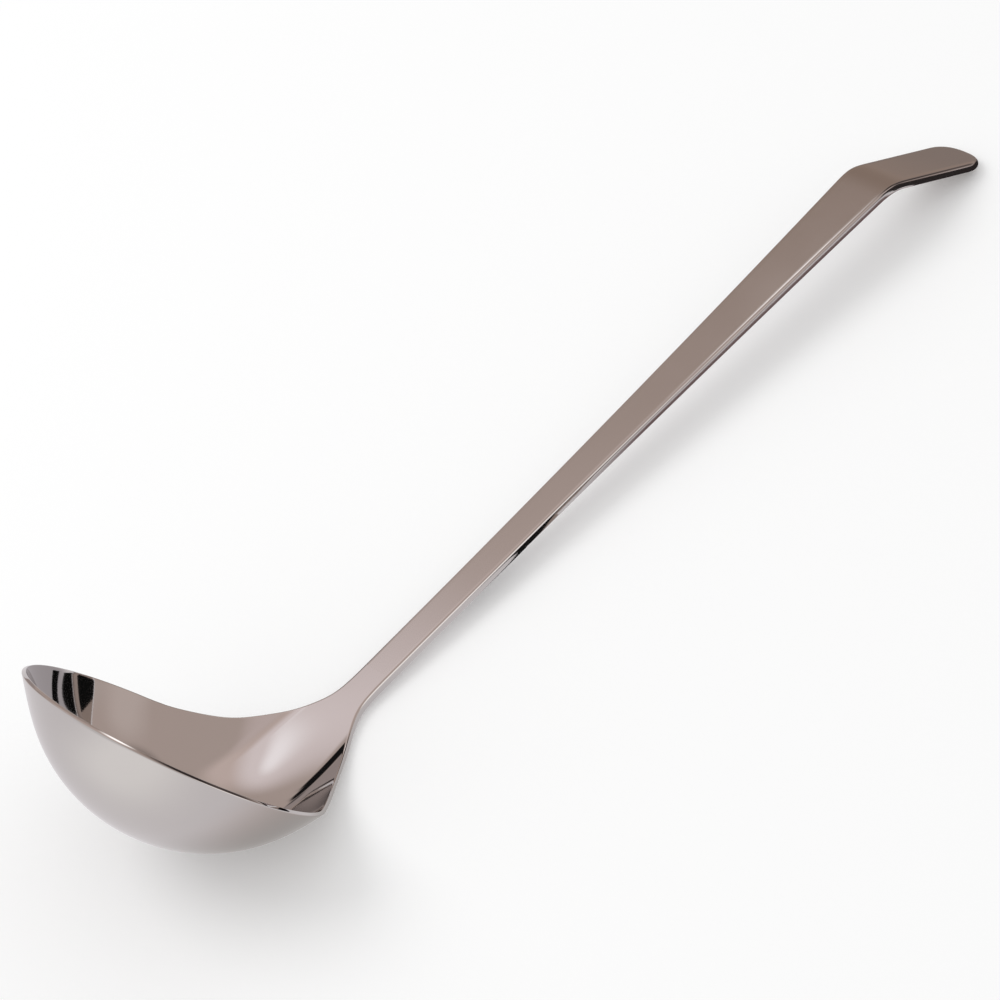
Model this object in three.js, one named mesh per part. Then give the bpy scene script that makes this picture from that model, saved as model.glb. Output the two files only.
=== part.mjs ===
// A kitchen ladle lying on a table: a round bowl pressed from sheet, a flat handle whose end is bent
// over into a hook, and the flush-ground weld that joins the two at the narrow neck.
import * as THREE from 'three';
import { mergeVertices } from 'three/addons/utils/BufferGeometryUtils.js';

// Driving dimensions: lengths in millimetres, angles in degrees
const mouthRadius = 41.4; // inner edge of the bowl's rim, a circle seen from above
const mouthSetback = 1.6; // from the bowl's deepest point forward to the middle of the mouth
const bowlCurveRadius = 44.8; // the bowl's inner face is part of a sphere
const bowlWall = 1.2;
const shoulderAngle = 122; // round from the front, where the rim leaves the circle for the neck
const shoulderPull = 0.82; // how far the rim keeps its own direction there, of the way to the neck
const neckPull = 0.32; // how far the neck's edge runs straight towards the shoulder, likewise
const flatteningStart = 22; // behind the deepest point, where the face starts to flatten into the neck
const neckRise = 41; // straight run of the bowl's tongue, up to the weld
const neckWidth = 9.2;
const weldLength = 2.4;
const handleSlope = 57; // handle against the plane of the mouth
const handleRun = 201.6; // straight run from the weld to the bend
const handleWidth = 16.6; // at the bend and along the hook
const handleThickness = 2.9;
const bendRadius = 12; // upper face of the bend
const hookSlope = 25; // hook against the plane of the mouth
const hookRun = 39; // from the bend to the round tip
const edgeRadius = 0.8; // rounding of the handle's edges
const rimRounding = 0.4; // largest share of the wall that one edge's rounding takes

// Fineness of the mesh
const shoulderSteps = 34; // rim points on each side, from the front to the neck
const bowlRings = 13;
const sectionColumns = 2;
const edgeSteps = 2;
const handleSteps = 8;
const bendSteps = 6;
const hookSteps = 2;
const tipSteps = 8;

const slope = THREE.MathUtils.degToRad(handleSlope);
const hookAngle = THREE.MathUtils.degToRad(hookSlope);
const quarterTurn = Math.PI / 2;
const across = new THREE.Vector3(0, 1, 0);

// The middle line of the upper face, as seen from the side. It starts at the bowl's deepest point,
// follows the bowl's curve, runs straight up the handle and turns over the bend into the hook.
const bowlEnd = bowlCurveRadius * slope;
const neckEnd = bowlEnd + neckRise;
const weldEnd = neckEnd + weldLength;
const bendStart = weldEnd + handleRun;
const bendEnd = bendStart + bendRadius * (slope - hookAngle);
const tipEnd = bendEnd + hookRun;

// Slope angle of the middle line at a distance along it.
function angleAlong(distance) {
  if (distance < bowlEnd) {
    return distance / bowlCurveRadius;
  }
  if (distance < bendStart) {
    return slope;
  }
  return Math.max(hookAngle, slope - (distance - bendStart) / bendRadius);
}

function tangentAlong(distance) {
  const angle = angleAlong(distance);
  return new THREE.Vector3(Math.cos(angle), 0, Math.sin(angle));
}

// Upward normal of the upper face on the middle line.
function normalAlong(distance) {
  const angle = angleAlong(distance);
  return new THREE.Vector3(-Math.sin(angle), 0, Math.cos(angle));
}

const bowlCentre = new THREE.Vector3(0, 0, bowlCurveRadius);
const bowlEndPoint = bowlCentre.clone().addScaledVector(normalAlong(bowlEnd), -bowlCurveRadius);
const bendStartPoint = bowlEndPoint.clone().addScaledVector(tangentAlong(bowlEnd), bendStart - bowlEnd);
const bendCentre = bendStartPoint.clone().addScaledVector(normalAlong(bendStart), -bendRadius);
const bendEndPoint = bendCentre.clone().addScaledVector(normalAlong(bendEnd), bendRadius);

function pointAlong(distance) {
  if (distance < bowlEnd) {
    return bowlCentre.clone().addScaledVector(normalAlong(distance), -bowlCurveRadius);
  }
  if (distance < bendStart) {
    return bowlEndPoint.clone().addScaledVector(tangentAlong(distance), distance - bowlEnd);
  }
  if (distance < bendEnd) {
    return bendCentre.clone().addScaledVector(normalAlong(distance), bendRadius);
  }
  return bendEndPoint.clone().addScaledVector(tangentAlong(distance), distance - bendEnd);
}

// The pressed face of the bowl and neck as a height over the plane of the mouth. The bowl is the
// middle line turned about its deepest point. Towards the neck the turning fades out, so the round
// back wall flattens until it meets the handle's flat face.
const neckPoint = pointAlong(neckEnd);

function faceHeight(x, y) {
  const turning = 1 - THREE.MathUtils.smootherstep(x, flatteningStart, neckPoint.x);
  const run = Math.sqrt(x * x + turning * y * y);
  if (run < bowlEndPoint.x) {
    return bowlCurveRadius - Math.sqrt(bowlCurveRadius ** 2 - run ** 2);
  }
  return bowlEndPoint.z + (run - bowlEndPoint.x) * Math.tan(slope);
}

function facePoint(x, y) {
  return new THREE.Vector3(x, y, faceHeight(x, y));
}

function faceNormal(x, y) {
  const step = bowlWall / 100;
  const riseX = (faceHeight(x + step, y) - faceHeight(x - step, y)) / (2 * step);
  const riseY = (faceHeight(x, y + step) - faceHeight(x, y - step)) / (2 * step);
  return new THREE.Vector3(-riseX, -riseY, 1).normalize();
}

// The sheet thickens from the bowl's wall to the handle's bar over the same stretch.
function wallAt(x) {
  const share = THREE.MathUtils.smootherstep(x, flatteningStart, neckPoint.x);
  return THREE.MathUtils.lerp(bowlWall, handleThickness, share);
}

function roundingOf(wall) {
  return Math.min(edgeRadius, rimRounding * wall);
}

// Rounded edge between the upper and the lower face, from just outside the upper face's edge to just
// outside the lower face's. Outward lies in the face, square to the edge.
function edgePoints(corner, normal, outward, wall) {
  const rounding = roundingOf(wall);
  const points = [];
  for (const lower of [false, true]) {
    for (let step = 1; step <= edgeSteps; step += 1) {
      const turn = (quarterTurn * (lower ? step - 1 : step)) / edgeSteps;
      const reach = rounding * (lower ? Math.cos(turn) : Math.sin(turn));
      const fall = rounding * (lower ? 1 - Math.sin(turn) : 1 - Math.cos(turn));
      const depth = lower ? wall - fall : fall;
      points.push(corner.clone().addScaledVector(outward, reach).addScaledVector(normal, -depth));
    }
  }
  return points;
}

// Collects triangles. Corners given counter-clockwise, seen from outside, face outwards.
class TriangleSoup {
  constructor() {
    this.corners = [];
  }

  triangle(a, b, c) {
    this.corners.push(a, b, c);
  }

  quad(a, b, c, d) {
    this.triangle(a, b, c);
    this.triangle(a, c, d);
  }

  // Shares equal corners and leaves out triangles that shrank to a line or a point.
  geometry() {
    const soup = new THREE.BufferGeometry().setFromPoints(this.corners);
    const merged = mergeVertices(soup, bowlWall / 1e5);
    const index = merged.getIndex().array;
    const kept = [];
    for (let i = 0; i < index.length; i += 3) {
      const [a, b, c] = index.slice(i, i + 3);
      if (a !== b && b !== c && c !== a) {
        kept.push(a, b, c);
      }
    }
    merged.setIndex(kept);
    merged.computeVertexNormals();
    return merged;
  }
}

// One cross-section of the bar: its upper row from -Y to +Y, its two rounded edges and its lower row.
// On the round tip, lean turns the edges' outward direction from sideways towards the tip.
function barSection(distance, halfFlat, wall, lean = 0) {
  const centre = pointAlong(distance);
  const normal = normalAlong(distance);
  const tangent = tangentAlong(distance);
  const upper = [];
  const lower = [];
  for (let column = 0; column <= sectionColumns; column += 1) {
    const y = halfFlat * ((2 * column) / sectionColumns - 1);
    const top = centre.clone().addScaledVector(across, y);
    upper.push(top);
    lower.push(top.clone().addScaledVector(normal, -wall));
  }
  const edgeOn = (side, corner) => {
    const outward = tangent.clone().multiplyScalar(Math.sin(lean));
    outward.addScaledVector(across, side * Math.cos(lean));
    return edgePoints(corner, normal, outward, wall);
  };
  return { upper, lower, minus: edgeOn(-1, upper[0]), plus: edgeOn(1, upper[sectionColumns]) };
}

// The section as one loop: over the upper face, round the +Y edge, back under and round the -Y edge.
function sectionLoop(section) {
  const { upper, lower, minus, plus } = section;
  return [...upper, ...plus, ...lower.toReversed(), ...minus.toReversed()];
}

function addCap(soup, section, facesForward) {
  const { upper, lower, minus, plus } = section;
  const put = (a, b, c) => (facesForward ? soup.triangle(a, b, c) : soup.triangle(a, c, b));
  for (let column = 0; column < sectionColumns; column += 1) {
    put(upper[column], lower[column], lower[column + 1]);
    put(upper[column], lower[column + 1], upper[column + 1]);
  }
  const plusEdge = [upper[sectionColumns], ...plus, lower[sectionColumns]];
  const minusEdge = [upper[0], ...minus, lower[0]];
  for (let step = 1; step < plusEdge.length - 1; step += 1) {
    put(plusEdge[0], plusEdge[step + 1], plusEdge[step]);
    put(minusEdge[0], minusEdge[step], minusEdge[step + 1]);
  }
}

// Skin between sections that follow one another along the middle line.
function addSkin(soup, sections) {
  const loops = sections.map(sectionLoop);
  for (let i = 0; i + 1 < loops.length; i += 1) {
    const count = loops[i].length;
    for (let j = 0; j < count; j += 1) {
      const next = (j + 1) % count;
      soup.quad(loops[i][j], loops[i + 1][j], loops[i + 1][next], loops[i][next]);
    }
  }
}

// The handle widens along a parabola from the neck to the middle of the bend.
function halfFlatAlong(distance) {
  const bendMiddle = (bendStart + bendEnd) / 2;
  const share = THREE.MathUtils.clamp((distance - neckEnd) / (bendMiddle - neckEnd), 0, 1);
  const width = neckWidth + (handleWidth - neckWidth) * share ** 2;
  return width / 2 - roundingOf(handleThickness);
}

function handleSection(distance) {
  return barSection(distance, halfFlatAlong(distance), handleThickness);
}

// Pressed bowl: inner face, outer face one wall below it, rounded rim, and the tongue's cut end.
function bowlGeometry() {
  const soup = new TriangleSoup();
  const endSection = handleSection(neckEnd);
  const shoulder = THREE.MathUtils.degToRad(shoulderAngle);
  const neckCorner = endSection.upper[sectionColumns];
  const shoulderPoint = new THREE.Vector2(
    -mouthSetback - mouthRadius * Math.cos(shoulder),
    mouthRadius * Math.sin(shoulder),
  );
  const pull = shoulderPoint.distanceTo(new THREE.Vector2(neckCorner.x, neckCorner.y));
  const rim = new THREE.Path();
  rim.absarc(-mouthSetback, 0, mouthRadius, Math.PI, Math.PI - shoulder, true);
  rim.bezierCurveTo(
    shoulderPoint.x + pull * shoulderPull * Math.sin(shoulder),
    shoulderPoint.y + pull * shoulderPull * Math.cos(shoulder),
    neckCorner.x - pull * neckPull,
    neckCorner.y,
    neckCorner.x,
    neckCorner.y,
  );
  const rimPoints = rim.getSpacedPoints(shoulderSteps);

  // Rim stations on one side, front first, with the edge that closes each one.
  const stationAt = (side, index) => {
    const { x, y } = rimPoints[index];
    const corner = facePoint(x, side * y);
    const normal = faceNormal(x, side * y);
    const ahead = rimPoints[Math.min(index + 1, shoulderSteps)];
    const behind = rimPoints[Math.max(index - 1, 0)];
    const along = facePoint(ahead.x, side * ahead.y).sub(facePoint(behind.x, side * behind.y));
    if (index === 0) {
      along.set(0, side, 0);
    }
    const outward = along.cross(normal).multiplyScalar(side).normalize().negate();
    return { corner, normal, edge: edgePoints(corner, normal, outward, wallAt(x)) };
  };
  const sideStations = (side) => {
    const stations = [];
    for (let index = 0; index < shoulderSteps; index += 1) {
      stations.push(stationAt(side, index));
    }
    const column = side > 0 ? sectionColumns : 0;
    const edge = side > 0 ? endSection.plus : endSection.minus;
    stations.push({ corner: endSection.upper[column], normal: normalAlong(neckEnd), edge });
    return stations;
  };
  const plusSide = sideStations(1);
  const minusSide = sideStations(-1);

  // Boundary of the faces: from the front along +Y to the neck, across the cut end, back along -Y.
  const endRow = endSection.upper.slice(1, -1).toReversed();
  const endStations = endRow.map((corner) => ({ corner, normal: normalAlong(neckEnd) }));
  const boundary = [...plusSide, ...endStations, ...minusSide.slice(1).toReversed()];

  // Rays from the deepest point out to the boundary, on the inner and the outer face.
  const rays = boundary.map(({ corner, normal }) => {
    const inner = [];
    const outer = [];
    for (let ring = 0; ring <= bowlRings; ring += 1) {
      const share = ring / bowlRings;
      const [x, y] = [corner.x * share, corner.y * share];
      const isEnd = ring === bowlRings;
      const point = isEnd ? corner : facePoint(x, y);
      const up = isEnd ? normal : faceNormal(x, y);
      inner.push(point);
      outer.push(point.clone().addScaledVector(up, -wallAt(point.x)));
    }
    return { inner, outer };
  });
  for (let i = 0; i < rays.length; i += 1) {
    const here = rays[i];
    const next = rays[(i + 1) % rays.length];
    for (let ring = 0; ring < bowlRings; ring += 1) {
      soup.quad(here.inner[ring], next.inner[ring], next.inner[ring + 1], here.inner[ring + 1]);
      soup.quad(here.outer[ring], here.outer[ring + 1], next.outer[ring + 1], next.outer[ring]);
    }
  }

  // Rounded rim on both sides.
  const addRim = (stations, flipped) => {
    const bands = stations.map(({ corner, normal, edge }) => {
      const below = corner.clone().addScaledVector(normal, -wallAt(corner.x));
      return [corner, ...edge, below];
    });
    for (let i = 0; i + 1 < bands.length; i += 1) {
      for (let step = 0; step + 1 < bands[i].length; step += 1) {
        const square = [bands[i][step], bands[i][step + 1], bands[i + 1][step + 1], bands[i + 1][step]];
        soup.quad(...(flipped ? square.toReversed() : square));
      }
    }
  };
  addRim(plusSide, true);
  addRim(minusSide, false);
  addCap(soup, endSection, true);
  return soup.geometry();
}

// Ground-flush butt weld: a short length of the same bar.
function weldGeometry() {
  const soup = new TriangleSoup();
  const sections = [handleSection(neckEnd), handleSection(weldEnd)];
  addSkin(soup, sections);
  addCap(soup, sections[0], false);
  addCap(soup, sections[1], true);
  return soup.geometry();
}

// Flat bar from the weld over the bend to the round tip of the hook.
function handleGeometry() {
  const soup = new TriangleSoup();
  const sections = [];
  const addRun = (from, to, steps) => {
    for (let step = 0; step < steps; step += 1) {
      sections.push(handleSection(THREE.MathUtils.lerp(from, to, step / steps)));
    }
  };
  const tipRadius = halfFlatAlong(tipEnd);
  const tipCentre = tipEnd - tipRadius - roundingOf(handleThickness);
  addRun(weldEnd, bendStart, handleSteps);
  addRun(bendStart, bendEnd, bendSteps);
  addRun(bendEnd, tipCentre, hookSteps);
  for (let step = 0; step <= tipSteps; step += 1) {
    const lean = (quarterTurn * step) / tipSteps;
    const distance = tipCentre + tipRadius * Math.sin(lean);
    sections.push(barSection(distance, tipRadius * Math.cos(lean), handleThickness, lean));
  }
  addSkin(soup, sections);
  addCap(soup, sections[0], false);
  return soup.geometry();
}

function steelMesh(name, geometry, color, roughness) {
  const material = new THREE.MeshStandardMaterial({ color, roughness, metalness: 1 });
  const mesh = new THREE.Mesh(geometry, material);
  mesh.name = name;
  return mesh;
}

const bowl = steelMesh('bowl', bowlGeometry(), 0xc9c6c4, 0.08);
const weldSeam = steelMesh('weld_seam', weldGeometry(), 0xc4c0be, 0.12);
const handle = steelMesh('handle', handleGeometry(), 0xc7c2bf, 0.1);

const ladle = new THREE.Group();
ladle.name = 'ladle';
ladle.add(bowl, weldSeam, handle);

// Lay the ladle down: turn it about Y until the bowl's back and the hook's tip are equally low.
function lowestPoint(mesh, tilt) {
  const { array } = mesh.geometry.getAttribute('position');
  let lowest = Infinity;
  for (let i = 0; i < array.length; i += 3) {
    lowest = Math.min(lowest, array[i + 2] * Math.cos(tilt) - array[i] * Math.sin(tilt));
  }
  return lowest;
}

function lyingTilt() {
  let [low, high] = [0, quarterTurn];
  const halvings = 50;
  for (let i = 0; i < halvings; i += 1) {
    const middle = (low + high) / 2;
    const bowlIsLower = lowestPoint(bowl, middle) < lowestPoint(handle, middle);
    [low, high] = bowlIsLower ? [middle, high] : [low, middle];
  }
  return (low + high) / 2;
}

ladle.rotation.y = lyingTilt();
const extent = new THREE.Box3().setFromObject(ladle, true);
const middle = extent.getCenter(new THREE.Vector3());
ladle.position.set(-middle.x, -middle.y, -extent.min.z);

export default ladle;
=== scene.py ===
"""Looks of a polished steel kitchen ladle that lies on a white table."""

import bmesh
import bpy
import numpy as np
from mathutils import Matrix, Vector


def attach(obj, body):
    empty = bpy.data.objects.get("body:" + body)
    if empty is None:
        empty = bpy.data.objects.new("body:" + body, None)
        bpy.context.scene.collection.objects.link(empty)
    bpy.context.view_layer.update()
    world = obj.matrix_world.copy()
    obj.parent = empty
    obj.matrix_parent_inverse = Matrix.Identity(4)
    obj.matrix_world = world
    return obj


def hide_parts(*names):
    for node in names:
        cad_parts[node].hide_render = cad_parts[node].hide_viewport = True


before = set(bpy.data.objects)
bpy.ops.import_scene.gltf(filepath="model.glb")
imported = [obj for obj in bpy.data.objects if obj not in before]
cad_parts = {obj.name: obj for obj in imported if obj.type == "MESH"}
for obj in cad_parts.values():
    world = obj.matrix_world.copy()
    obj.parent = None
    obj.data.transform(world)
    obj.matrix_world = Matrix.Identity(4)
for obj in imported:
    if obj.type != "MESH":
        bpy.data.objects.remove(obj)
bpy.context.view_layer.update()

# Shape of the ladle in metres and radians, with the names and values of the part's source
mouth_radius = 0.0414
mouth_setback = 0.0016
bowl_curve_radius = 0.0448
bowl_wall = 0.0012
neck_rise = 0.041
neck_width = 0.0092
weld_length = 0.0024
handle_slope = np.radians(57)
handle_run = 0.2016
handle_width = 0.0166
handle_thickness = 0.0029
bend_radius = 0.012
hook_slope = np.radians(25)
hook_run = 0.039
edge_radius = 0.0008
# Shoulder of the bowl, drawn closer than in the solids, and the fold that turns up its corners.
# Slopes are rise over run, and the gain is slope per metre towards the neck.
shoulder_angle = np.radians(128.5)
shoulder_pull = 0.90
neck_pull = 0.26
flattening_start = 0.018
thickening_start = 0.036
fold_start = 0.0185
fold_reach = 0.0205
fold_slope = 0.33
fold_gain = 21.0
fold_gain_reach = 0.014
fold_gain_ease = 0.006
fold_aside = 0.0136
fold_taper = 0.23
fold_softness = 0.0022
fold_place = 0.036
# Small forms that the solids leave out
bowl_ease = 0.008
bend_ease = 0.004
rim_rounding = 0.00025
hook_edge_radius = 0.0014
hook_edge_lead = 0.004
tip_squareness = 2.5

# Fineness of the surfaces
rim_count = 240
face_count = 90
edge_count = 8
bar_columns = 16
handle_count = 150
bend_count = 60
hook_count = 40
tip_count = 40
bend_margin = 0.01
spine_power = 1.6
slope_step = 5e-5
merge_distance = 1e-7
crease_angle = np.radians(40)

# Middle line of the upper face, tabulated from the bowl's deepest point to the tip
bowl_end = bowl_curve_radius * handle_slope
neck_end = bowl_end + neck_rise
weld_end = neck_end + weld_length
bend_start = weld_end + handle_run
bend_end = bend_start + bend_radius * (handle_slope - hook_slope)
tip_end = bend_end + hook_run
spare = 0.03
line_at = np.linspace(-spare, tip_end + spare, 20001)
sharp_angle = np.interp(
    line_at,
    [-spare, bowl_end, bend_start, bend_end],
    [-spare / bowl_curve_radius, handle_slope, handle_slope, hook_slope],
)


def running_sum(values):
    """Integral of a tabulated quantity along the middle line, by the trapezium rule."""
    steps = 0.5 * (values[1:] + values[:-1]) * np.diff(line_at)
    return np.concatenate([[0.0], np.cumsum(steps)])


def eased(values, ease):
    """Mean of a tabulated quantity over the stretch that reaches one ease to either side."""
    total = running_sum(values)
    ahead = np.interp(line_at + ease, line_at, total)
    behind = np.interp(line_at - ease, line_at, total)
    return (ahead - behind) / (2 * ease)


line_angle = np.where(
    line_at < 0.5 * (bowl_end + bend_start),
    eased(sharp_angle, bowl_ease),
    eased(sharp_angle, bend_ease),
)
line_x = running_sum(np.cos(line_angle))
line_z = running_sum(np.sin(line_angle))
line_x -= np.interp(0.0, line_at, line_x)
line_z -= np.interp(0.0, line_at, line_z)
neck_x = np.interp(neck_end, line_at, line_x)


def smoother(x, start):
    """Rise from 0 to 1 between a start and the neck's end, level at both."""
    t = np.clip((x - start) / (neck_x - start), 0, 1)
    return t ** 3 * (10 - 15 * t + 6 * t * t)


def ramp(value, softness):
    """Nothing below zero and the value above it, with a rounded start that is softness wide to
    either side."""
    start = np.clip(value + softness, 0, 2 * softness)
    return start ** 2 / (4 * softness) + np.maximum(value - softness, 0)


def folded(x, y):
    """Height that the fold adds: nothing inside a line that runs in towards the neck, and a slope
    outside it that grows towards the neck, with a rounded start."""
    t = np.clip((x - fold_start) / fold_reach, 0, 1)
    along = x - fold_place
    slope = fold_slope * t ** 3 * (10 - 15 * t + 6 * t * t)
    slope += fold_gain * (
        ramp(along, fold_gain_ease) - ramp(along - fold_gain_reach, fold_gain_ease)
    )
    return slope * ramp(np.abs(y) - (fold_aside - fold_taper * along), fold_softness)


def height_at(x, y):
    """Height of the inner face: the middle line's at a run from the deepest point, where the run
    counts y less and less towards the neck, and the fold's on top."""
    run = np.sqrt(x * x + (1 - smoother(x, flattening_start)) * y * y)
    return np.interp(run, line_x, line_z) + folded(x, y)


def face(x, y):
    """Inner face of the bowl and neck with its normal, from slopes over a short step."""
    step = slope_step
    rise_x = (height_at(x + step, y) - height_at(x - step, y)) / (2 * step)
    rise_y = (height_at(x, y + step) - height_at(x, y - step)) / (2 * step)
    normal = np.stack([-rise_x, -rise_y, np.ones_like(rise_x)], -1)
    normal /= np.linalg.norm(normal, axis=-1, keepdims=True)
    return np.stack([x, y, height_at(x, y)], -1), normal


def wall_at(x):
    """Wall thickness: the bowl's sheet, thickening to the handle's bar along the neck."""
    return bowl_wall + (handle_thickness - bowl_wall) * smoother(x, thickening_start)


def edge_profile(rounding, wall):
    """Reach and depth of a rounded edge: a quarter turn out, straight down, a quarter turn back."""
    turn = np.linspace(0, np.pi / 2, edge_count)
    reach = np.concatenate([np.sin(turn), np.cos(turn)])
    upper = 1 - np.cos(turn)
    lower = 1 - np.sin(turn)
    depth = np.concatenate(
        [rounding[..., None] * upper, wall[..., None] - rounding[..., None] * lower], -1
    )
    return rounding[..., None] * reach, depth


def turned(points, tilt):
    """Points turned about Y by a tilt, from the bowl's own frame towards the lying pose."""
    c, s = np.cos(tilt), np.sin(tilt)
    x, y, z = points[..., 0], points[..., 1], points[..., 2]
    return np.stack([x * c + z * s, y, z * c - x * s], -1)


def lying_tilt(bowl_points, bar_points):
    """Tilt at which the bowl's back and the hook's tip are equally low, found by halving."""
    low, high = 0.0, np.pi / 2
    for _ in range(40):
        middle = 0.5 * (low + high)
        bowl_low = turned(bowl_points, middle)[..., 2].min()
        bar_low = turned(bar_points, middle)[..., 2].min()
        low, high = (middle, high) if bowl_low < bar_low else (low, middle)
    return 0.5 * (low + high)


def grid_piece(name, points, uv, closed, caps):
    """Mesh object from a grid of points, rows by columns. Columns join up in a ring where closed is
    set, and uv then has one column more. Open ends are filled where caps is set. Points that meet
    are merged."""
    rows, columns = points.shape[:2]
    last = columns if closed else columns - 1
    row, column = np.meshgrid(np.arange(rows - 1), np.arange(last), indexing="ij")
    ahead = (column + 1) % columns
    quads = np.stack(
        [
            row * columns + column,
            (row + 1) * columns + column,
            (row + 1) * columns + ahead,
            row * columns + ahead,
        ],
        -1,
    ).reshape(-1, 4)
    mesh = bpy.data.meshes.new(name)
    mesh.from_pydata(points.reshape(-1, 3), [], quads)
    layer = mesh.uv_layers.new(name="along")
    corners = uv[[row, row + 1, row + 1, row], [column, column, column + 1, column + 1]]
    unrolled = np.moveaxis(corners, 0, 2).astype(np.float32)
    layer.uv.foreach_set("vector", unrolled.reshape(-1))
    work = bmesh.new()
    work.from_mesh(mesh)
    bmesh.ops.remove_doubles(work, verts=work.verts, dist=merge_distance)
    open_edges = [edge for edge in work.edges if edge.is_boundary]
    if caps:
        bmesh.ops.holes_fill(work, edges=open_edges)
    bmesh.ops.recalc_face_normals(work, faces=work.faces)
    work.to_mesh(mesh)
    work.free()
    mesh.shade_smooth()
    mesh.set_sharp_from_angle(angle=crease_angle)
    piece = bpy.data.objects.new(name, mesh)
    bpy.context.collection.objects.link(piece)
    return piece


def rim_line():
    """Edge of the inner face on the +Y side, evenly spaced from the front to the neck: part of a
    circle about the middle of the mouth, then a Bezier curve down to the neck's corner."""
    turn = np.linspace(0, shoulder_angle, 2000)
    arc = np.stack(
        [-mouth_setback - mouth_radius * np.cos(turn), mouth_radius * np.sin(turn)], -1
    )
    corner = np.array([neck_x, neck_width / 2 - edge_radius])
    pull = np.linalg.norm(corner - arc[-1])
    leave = np.array([np.sin(shoulder_angle), np.cos(shoulder_angle)])
    first = arc[-1] + leave * pull * shoulder_pull
    second = corner - np.array([pull * neck_pull, 0])
    t = np.linspace(0, 1, 2000)[1:, None]
    curve = (
        (1 - t) ** 3 * arc[-1]
        + 3 * (1 - t) ** 2 * t * first
        + 3 * (1 - t) * t * t * second
        + t ** 3 * corner
    )
    dense = np.concatenate([arc, curve])
    spatial = face(dense[:, 0], dense[:, 1])[0]
    length = np.concatenate([[0], np.cumsum(np.linalg.norm(np.diff(spatial, axis=0), axis=1))])
    even = np.linspace(0, length[-1], rim_count)
    return np.stack([np.interp(even, length, dense[:, k]) for k in range(2)], -1), even


def make_bowl():
    """Pressed bowl with its neck. One parameter runs along the rim from the neck's -Y corner round
    the front to its +Y corner. The other runs from a spine below the middle of the face out to the
    rim, round the rim's edge and back under to the spine. The spine is the deepest point for the
    bowl and follows the rim along the neck."""
    rim, rim_at = rim_line()
    mirrored = rim[:0:-1] * [1, -1]
    border = np.concatenate([mirrored, rim])
    border_at = np.concatenate([-rim_at[:0:-1], rim_at])
    share = np.clip(border[:, 0] / neck_x, 0, 1)
    spine = np.stack([neck_x * share ** spine_power, np.zeros_like(share)], -1)
    t = np.linspace(0, 1, face_count)
    flat = spine[:, None] + (border - spine)[:, None] * t[None, :, None]
    inner, normal = face(flat[..., 0], flat[..., 1])
    wall = wall_at(flat[..., 0])
    outer = inner - normal * wall[..., None]
    along = np.gradient(inner[:, -1], axis=0)
    along[0] = along[-1] = [np.cos(handle_slope), 0, np.sin(handle_slope)]
    along[0] *= -1
    outward = np.cross(normal[:, -1], along)
    outward /= np.linalg.norm(outward, axis=-1, keepdims=True)
    thickening = smoother(border[:, 0], thickening_start)
    rounding = rim_rounding + (edge_radius - rim_rounding) * thickening
    reach, depth = edge_profile(rounding, wall[:, -1])
    edge = (
        inner[:, -1][:, None]
        + outward[:, None] * reach[..., None]
        - normal[:, -1][:, None] * depth[..., None]
    )
    points = np.concatenate([inner, edge[:, 1:-1], outer[:, ::-1]], 1)
    steps = np.linalg.norm(np.diff(points, axis=1), axis=-1)
    down = np.concatenate([np.zeros((len(points), 1)), np.cumsum(steps, 1)], 1)
    uv = np.stack([np.broadcast_to(border_at[:, None], down.shape), down], -1)
    return points, uv


def rounding_at(distance):
    """Radius of the bar's edges: even along the handle, growing over the bend to a softer hook."""
    share = np.clip((distance - bend_start) / (bend_end + hook_edge_lead - bend_start), 0, 1)
    return edge_radius + (hook_edge_radius - edge_radius) * share * share * (3 - 2 * share)


def half_flat(distance):
    """Half width of the handle's flat face, widening along a parabola from the neck to the bend."""
    middle = 0.5 * (bend_start + bend_end)
    share = np.clip((distance - neck_end) / (middle - neck_end), 0, 1)
    half = 0.5 * (neck_width + (handle_width - neck_width) * share ** 2)
    return half - rounding_at(distance)


def bar_points(distance, half, lean):
    """Rings round the bar at distances along the middle line: over the flat upper face, round one
    edge, back under and round the other. Lean turns the edges' outward direction towards the
    tip."""
    angle = np.interp(distance, line_at, line_angle)
    nothing = np.zeros_like(angle)
    centre = np.stack(
        [np.interp(distance, line_at, line_x), nothing, np.interp(distance, line_at, line_z)], -1
    )
    tangent = np.stack([np.cos(angle), nothing, np.sin(angle)], -1)
    normal = np.stack([-np.sin(angle), nothing, np.cos(angle)], -1)
    side = np.array([0.0, 1.0, 0.0])
    y = half[:, None] * np.linspace(-1, 1, bar_columns)
    upper = centre[:, None] + y[..., None] * side
    lower = upper - handle_thickness * normal[:, None]
    thick = np.full_like(distance, handle_thickness)
    reach, depth = edge_profile(rounding_at(distance), thick)
    reach, depth = reach[:, 1:-1, None], depth[:, 1:-1, None]
    sideways = np.cos(lean)[:, None, None]
    forward = np.sin(lean)[:, None, None] * tangent[:, None]
    plus = upper[:, -1:] + reach * (sideways * side + forward) - depth * normal[:, None]
    minus = upper[:, :1] + reach * (forward - sideways * side) - depth * normal[:, None]
    return np.concatenate([upper, plus, lower[:, ::-1], minus[:, ::-1]], 1)


def bar(distance, half, lean):
    """Bar through the rings of bar_points, with lengths along and round it for its finish."""
    points = bar_points(distance, half, lean)
    steps = np.linalg.norm(np.roll(points, -1, axis=1) - points, axis=-1)
    around = np.concatenate([np.zeros((len(points), 1)), np.cumsum(steps, 1)], 1)
    uv = np.stack([np.broadcast_to(distance[:, None], around.shape), around], -1)
    return points, uv


def make_weld():
    """Ground weld: a short length of the same bar between the neck and the handle."""
    distance = np.linspace(neck_end, weld_end, 5)
    return bar(distance, half_flat(distance), np.zeros_like(distance))


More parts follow.
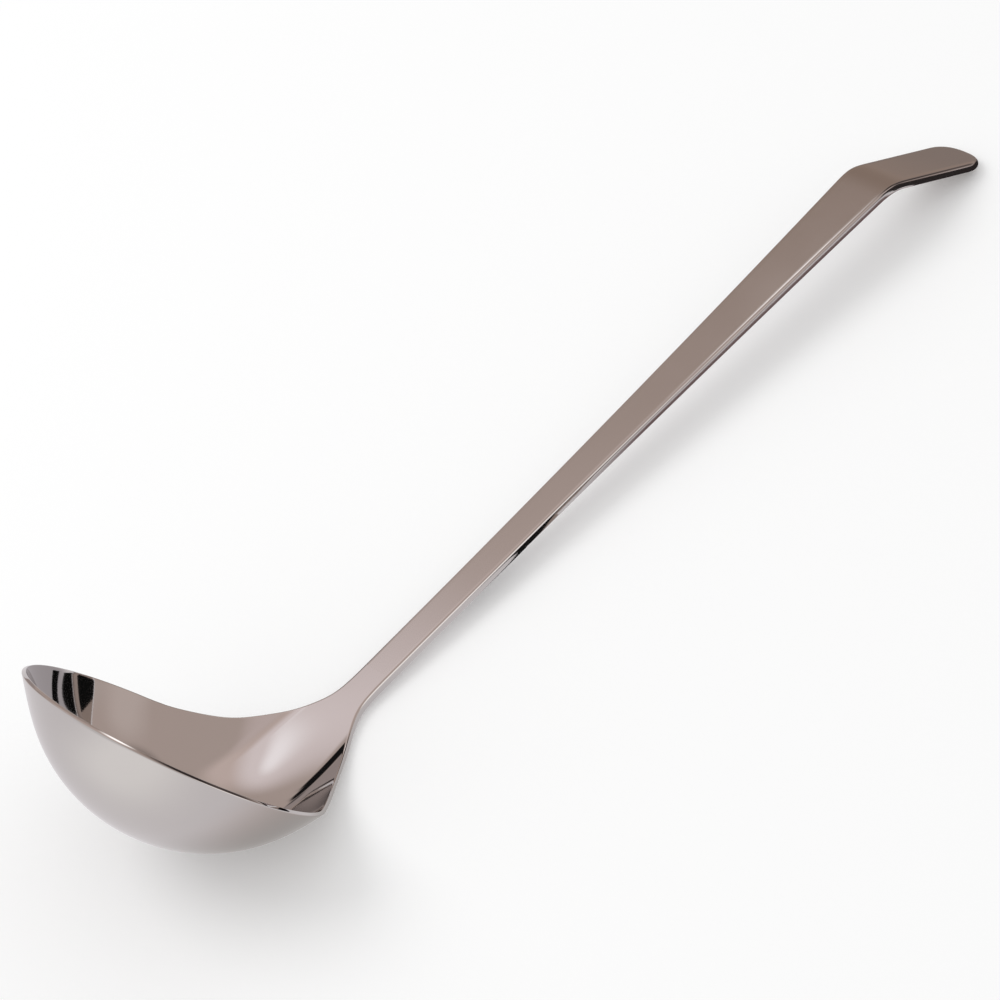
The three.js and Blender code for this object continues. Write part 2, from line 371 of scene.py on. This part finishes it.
def make_handle():
    """Flat bar from the weld over the bend to the tip of the hook, whose outline is a quarter of a
    superellipse to either side."""
    tip_centre = tip_end - 0.5 * handle_width
    before_bend = bend_start - bend_margin
    after_bend = bend_end + bend_margin
    straight = np.concatenate(
        [
            np.linspace(weld_end, before_bend, handle_count, endpoint=False),
            np.linspace(before_bend, after_bend, bend_count, endpoint=False),
            np.linspace(after_bend, tip_centre, hook_count, endpoint=False),
        ]
    )
    turn = np.linspace(0, np.pi / 2, tip_count)
    ahead = np.sin(turn) ** (2 / tip_squareness)
    aside = np.abs(np.cos(turn)) ** (2 / tip_squareness)
    tip_at = tip_centre + (0.5 * handle_width - hook_edge_radius) * ahead
    tip_half = (0.5 * handle_width - rounding_at(tip_centre)) * aside
    tip_lean = np.arctan2(ahead ** (tip_squareness - 1), aside ** (tip_squareness - 1))
    distance = np.concatenate([straight, tip_at])
    half = np.concatenate([half_flat(straight), tip_half])
    lean = np.concatenate([np.zeros_like(straight), tip_lean])
    return bar(distance, half, lean)


def steel(name, gloss, stretch):
    """Polished steel. Fine polishing lines run along the piece, drawn out by stretch per metre
    along and across it. Wide faint patches shift the colour and the roughness, and the lines stir
    the surface and its roughness between the two values of gloss."""
    material = bpy.data.materials.new(name)
    material.use_nodes = True
    nodes, links = material.node_tree.nodes, material.node_tree.links
    shader = nodes["Principled BSDF"]
    shader.inputs["Metallic"].default_value = 1.0
    place = nodes.new("ShaderNodeTexCoord")
    drawn = nodes.new("ShaderNodeMapping")
    drawn.inputs["Scale"].default_value = (*stretch, 1)
    links.new(place.outputs["UV"], drawn.inputs["Vector"])
    lines = nodes.new("ShaderNodeTexNoise")
    lines.inputs["Scale"].default_value = 1.0
    lines.inputs["Detail"].default_value = 3.0
    links.new(drawn.outputs["Vector"], lines.inputs["Vector"])
    patches = nodes.new("ShaderNodeTexNoise")
    patches.inputs["Scale"].default_value = 40.0
    patches.inputs["Detail"].default_value = 4.0
    links.new(place.outputs["Object"], patches.inputs["Vector"])
    tint = nodes.new("ShaderNodeMix")
    tint.data_type = "RGBA"
    tint.inputs[6].default_value = (0.570, 0.545, 0.530, 1)
    tint.inputs[7].default_value = (0.600, 0.575, 0.560, 1)
    links.new(patches.outputs["Fac"], tint.inputs[0])
    links.new(tint.outputs[2], shader.inputs["Base Color"])
    both = nodes.new("ShaderNodeMath")
    both.operation = "ADD"
    links.new(lines.outputs["Fac"], both.inputs[0])
    links.new(patches.outputs["Fac"], both.inputs[1])
    sheen = nodes.new("ShaderNodeMapRange")
    sheen.inputs["From Min"].default_value = 0.7
    sheen.inputs["From Max"].default_value = 1.3
    sheen.inputs["To Min"].default_value = gloss[0]
    sheen.inputs["To Max"].default_value = gloss[1]
    links.new(both.outputs["Value"], sheen.inputs["Value"])
    links.new(sheen.outputs["Result"], shader.inputs["Roughness"])
    relief = nodes.new("ShaderNodeBump")
    relief.inputs["Strength"].default_value = 1.0
    relief.inputs["Distance"].default_value = 1e-6
    links.new(lines.outputs["Fac"], relief.inputs["Height"])
    links.new(relief.outputs["Normal"], shader.inputs["Normal"])
    return material


shapes = {"bowl": make_bowl(), "weld_seam": make_weld(), "handle": make_handle()}
tilt = lying_tilt(shapes["bowl"][0], shapes["handle"][0])
lying = {node: turned(points, tilt) for node, (points, uv) in shapes.items()}
everything = np.concatenate([points.reshape(-1, 3) for points in lying.values()])
box_middle = 0.5 * (everything.min(0) + everything.max(0))
place = np.array([-box_middle[0], 0.0, -everything[:, 2].min()])
bowl, weld, handle = [
    grid_piece(name, lying[node] + place, shapes[node][1], node != "bowl", True)
    for name, node in [
        ("bowl_shell", "bowl"),
        ("ground_weld", "weld_seam"),
        ("hooked_handle", "handle"),
    ]
]
for piece, node, gloss, stretch in [
    (bowl, "bowl", (0.03, 0.06), (25, 2500)),
    (weld, "weld_seam", (0.10, 0.16), (25, 3000)),
    (handle, "handle", (0.10, 0.16), (25, 3000)),
]:
    piece.data.materials.append(steel("steel_" + node, gloss, stretch))
    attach(piece, "root")
    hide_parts(node)


def heading(azimuth, height):
    """Unit vector at an azimuth from +X towards +Y and a height above the horizon, in degrees."""
    a, e = np.radians(azimuth), np.radians(height)
    return Vector((np.cos(e) * np.cos(a), np.cos(e) * np.sin(a), np.sin(e)))


# Floor
floor_size = 6.0
floor_mesh = bpy.data.meshes.new("floor")
floor_mesh.from_pydata(
    [
        (-floor_size, -floor_size, 0),
        (floor_size, -floor_size, 0),
        (floor_size, floor_size, 0),
        (-floor_size, floor_size, 0),
    ],
    [],
    [(0, 1, 2, 3)],
)
floor = bpy.data.objects.new("floor", floor_mesh)
bpy.context.collection.objects.link(floor)
paper = bpy.data.materials.new("white_paper")
paper.use_nodes = True
paper_shader = paper.node_tree.nodes["Principled BSDF"]
paper_shader.inputs["Base Color"].default_value = (0.9, 0.9, 0.9, 1)
paper_shader.inputs["Roughness"].default_value = 1.0
paper_shader.inputs["Specular IOR Level"].default_value = 0.0
paper_shader.inputs["Emission Color"].default_value = (1, 1, 1, 1)
paper_shader.inputs["Emission Strength"].default_value = 0.12
floor_mesh.materials.append(paper)

# World: even pale light from all round
world = bpy.data.worlds.new("studio")
bpy.context.scene.world = world
world.use_nodes = True
world.node_tree.nodes["Background"].inputs["Color"].default_value = (0.80, 0.80, 0.80, 1)
world.node_tree.nodes["Background"].inputs["Strength"].default_value = 1.0


def only_mirrored(piece):
    """Stage piece that shows in the polished steel and nowhere else."""
    piece.visible_camera = False
    piece.visible_diffuse = False
    piece.visible_shadow = False


def painted(piece, base, spots):
    """Self-lit cloth that paints light and shade into the steel's reflections: an even tone with
    soft round spots laid over it one after the other. Each is full within a first distance of its
    middle and gone beyond a second."""
    painted_glow = bpy.data.materials.new(piece.name)
    painted_glow.use_nodes = True
    nodes, links = painted_glow.node_tree.nodes, painted_glow.node_tree.links
    nodes.remove(nodes["Principled BSDF"])
    place = nodes.new("ShaderNodeTexCoord").outputs["Object"]
    shine = nodes.new("ShaderNodeEmission")
    shine.inputs["Color"].default_value = (*base, 1)
    below = None
    for middle, full, none, colour in spots:
        distance = nodes.new("ShaderNodeVectorMath")
        distance.operation = "DISTANCE"
        links.new(place, distance.inputs[0])
        distance.inputs[1].default_value = middle
        mask = nodes.new("ShaderNodeMapRange")
        mask.interpolation_type = "SMOOTHSTEP"
        links.new(distance.outputs["Value"], mask.inputs["Value"])
        mask.inputs["From Min"].default_value = none
        mask.inputs["From Max"].default_value = full
        mix = nodes.new("ShaderNodeMix")
        mix.data_type = "RGBA"
        links.new(mask.outputs["Result"], mix.inputs[0])
        mix.inputs[6].default_value = (*base, 1)
        mix.inputs[7].default_value = (*colour, 1)
        if below:
            links.new(below, mix.inputs[6])
        below = mix.outputs[2]
    if below:
        links.new(below, shine.inputs["Color"])
    links.new(shine.outputs["Emission"], nodes["Material Output"].inputs["Surface"])
    piece.data.materials.append(painted_glow)


def sheet(name, corners, base, spots=()):
    """Flat four-cornered self-lit sheet of painted reflection that only mirrors."""
    mesh = bpy.data.meshes.new(name)
    mesh.from_pydata(corners, [], [(0, 1, 2, 3)])
    piece = bpy.data.objects.new(name, mesh)
    bpy.context.collection.objects.link(piece)
    only_mirrored(piece)
    painted(piece, base, spots)


def laid(name, height, outline, base, spots=()):
    """Sheet that lies at a height over the table, with its corners given in millimetres."""
    sheet(name, [(0.001 * x, 0.001 * y, height) for x, y in outline], base, spots)


# Painted reflections round the ladle: a self-lit dome and ground sheet that only the steel mirrors,
# with painted light and shade laid over them in spots
dome_radius = 0.4


def dome_spot(azimuth, height, full, none, colour):
    """Spot on the dome at a heading from its middle, with its two sizes as angles from there."""
    sizes = 2 * dome_radius * np.sin(np.radians([full, none]) / 2)
    return heading(azimuth, height) * dome_radius, *sizes, colour


round_turn = np.linspace(0, 2 * np.pi, 97)
upward = np.linspace(0, np.pi / 2, 25)
turn, rise = np.meshgrid(round_turn, upward, indexing="ij")
dome_points = dome_radius * np.stack(
    [np.cos(rise) * np.cos(turn), np.cos(rise) * np.sin(turn), np.sin(rise)], -1
)
reflection_dome = grid_piece("painted_reflection_dome", dome_points, np.stack([turn, rise], -1), False, False)
only_mirrored(reflection_dome)
painted(
    reflection_dome,
    (0.75, 0.73, 0.73),
    [
        # Painted warm grey over most of the dome, darkest low behind the hook
        dome_spot(35, 45, 70, 110, (0.575, 0.478, 0.442)),
        dome_spot(31, 16, 5, 59, (0.35, 0.264, 0.22)),
        # Painted pale near side, which the bowl's outside mirrors
        dome_spot(-49, 26, 4, 26, (0.68, 0.585, 0.55)),
        dome_spot(-88, 20, 14, 34, (1.35, 1.30, 1.28)),
        # Painted pale patch high on the far side, which the shoulder mirrors
        dome_spot(70, 68, 6, 24, (0.77, 0.64, 0.60)),
        dome_spot(99, 54, 4, 17, (0.98, 0.88, 0.89)),
        dome_spot(98.9, 52, 0.3, 4.5, (1.28, 1.23, 1.27)),
        dome_spot(135, 80, 2, 12, (0.72, 0.61, 0.59)),
        # Painted dark corner and a bright spot painted in for a lamp, which the near rim mirrors
        dome_spot(-2, 36, 7, 24, (0.05, 0.04, 0.04)),
        dome_spot(-8, 15, 4, 18, (0.08, 0.065, 0.065)),
        dome_spot(35, 51, 2, 10, (2.00, 1.95, 1.95)),
        # Painted dark gap low on the far side, which makes the dark streak at the shoulder
        dome_spot(89, 8, 9, 13, (0.39, 0.33, 0.32)),
        dome_spot(95, 31, 4, 6, (0.01, 0.01, 0.01)),
        dome_spot(90.5, 25.5, 3, 5.5, (0.01, 0.01, 0.01)),
        dome_spot(89, 22.5, 2, 4.5, (0.01, 0.01, 0.01)),
        dome_spot(86.5, 17, 1, 3.5, (0.10, 0.09, 0.09)),
        dome_spot(87.7, 2.4, 0.7, 1.5, (0.01, 0.01, 0.01)),
    ],
)
# Ground sheet that the steel mirrors in place of the floor: an even tone with a painted pale patch
# far to the left, painted shadow round the bowl and painted shade beyond the hook
laid(
    "painted_reflection_ground",
    0.0003,
    [(-400, -400), (400, -400), (400, 400), (-400, 400)],
    (0.80, 0.77, 0.79),
    [
        (Vector((-0.31, 0.0, 0)), 0.03, 0.15, (1.02, 1.00, 1.00)),
        (Vector((-0.135, -0.045, 0)), 0.0, 0.05, (0.66, 0.58, 0.56)),
        (Vector((-0.128, -0.02, 0)), 0.01, 0.05, (0.47, 0.45, 0.44)),
        (Vector((-0.09, 0.055, 0)), 0.04, 0.07, (0.47, 0.44, 0.46)),
        (Vector((0.26, 0.08, 0)), 0.125, 0.16, (0.31, 0.25, 0.225)),
    ],
)

# Sheets of painted shade on the ground sheet, with their heights, corners and colours, and a
# painted dark card beside the hook, all seen only in the steel.
# The near ones are painted shadow that darkens the edges of the bar, and the strips are painted
# dark reflections that stripe the front of the bowl.
black = (0.005, 0.005, 0.005)
# Spot that fades the painted shadow near the neck into the ground sheet's tone
fading = [(Vector((-0.04, -0.01, 0)), 0.035, 0.075, (0.80, 0.77, 0.79))]
for name, height, outline, colour, spots in [
    # Painted black shade on the near side, which the steel mirrors
    (
        "painted_shade_near",
        0.0006,
        [(-18, -6), (-40, -30), (238, -260), (262, -198)],
        black,
        [],
    ),
    # Painted brown shade between the black shade and the bar
    (
        "painted_shade_beyond",
        0.0005,
        [(-18, -6), (262, -198), (262, -90), (20, -20)],
        (0.33, 0.26, 0.23),
        [],
    ),
    # Painted shadow of the handle on its near side, fading in towards the neck
    (
        "painted_shadow_near",
        0.0009,
        [(-6, -4), (-6, -12.5), (140, -28), (140, -6)],
        (0.20, 0.14, 0.14),
        fading,
    ),
    # Painted shadow by the hook's near edge
    (
        "painted_shadow_hook",
        0.0012,
        [(143, -4), (143, -60), (225, -60), (225, -4)],
        (0.03, 0.025, 0.025),
        [],
    ),
    # Painted dark reflections, laid flat, that stripe the front of the bowl
    (
        "dark_strip_far",
        0.0006,
        [(-88, 35.2), (-72, 30.4), (-62, 20.7), (-84, 30)],
        black,
        [],
    ),
    (
        "dark_strip_middle",
        0.0006,
        [(-75, 14), (-75, 23.5), (-20, -4), (-20, -12)],
        black,
        [],
    ),
]:
    laid(name, height, outline, colour, spots)
# Painted dark reflection: an upright dark sheet beside the hook that only the hook's steel mirrors
sheet(
    "painted_dark_reflection_hook",
    [(0.15, -0.062, 0), (0.23, -0.062, 0), (0.23, -0.062, 0.045), (0.15, -0.062, 0.045)],
    (0.05, 0.04, 0.04),
)

# Key lamp, high on the far side
key_data = bpy.data.lights.new("key", "AREA")
key_data.shape = "DISK"
key_data.size = 1.0
key_data.energy = 5.0
key = bpy.data.objects.new("key", key_data)
key_way = heading(125, 58)
key_distance = 1.6
key_turn = key_way.to_track_quat("Z", "Y").to_matrix().to_4x4()
key.matrix_world = Matrix.Translation(key_way * key_distance) @ key_turn
bpy.context.collection.objects.link(key)

# Camera
camera_aim = Vector((-0.0100, 0.0211, 0.0))
camera_distance = 1.0010
camera_azimuth = np.radians(31.261)
camera_height = np.radians(42.175)
camera_roll = np.radians(-19.255)
forward = Vector(
    (
        np.cos(camera_height) * np.sin(camera_azimuth),
        np.cos(camera_height) * np.cos(camera_azimuth),
        -np.sin(camera_height),
    )
)
level = Vector((np.cos(camera_azimuth), -np.sin(camera_azimuth), 0))
upright = level.cross(forward)
right = level * np.cos(camera_roll) + upright * np.sin(camera_roll)
up = right.cross(forward)
lens = bpy.data.cameras.new("camera")
lens.lens = 129.6
lens.sensor_width = 36.0
lens.clip_start = 0.01
camera = bpy.data.objects.new("camera", lens)
camera.matrix_world = Matrix.Translation(camera_aim - forward * camera_distance) @ Matrix(
    (right, up, -forward)
).transposed().to_4x4()
bpy.context.collection.objects.link(camera)
bpy.context.scene.camera = camera
bpy.context.scene.view_settings.view_transform = "Standard"
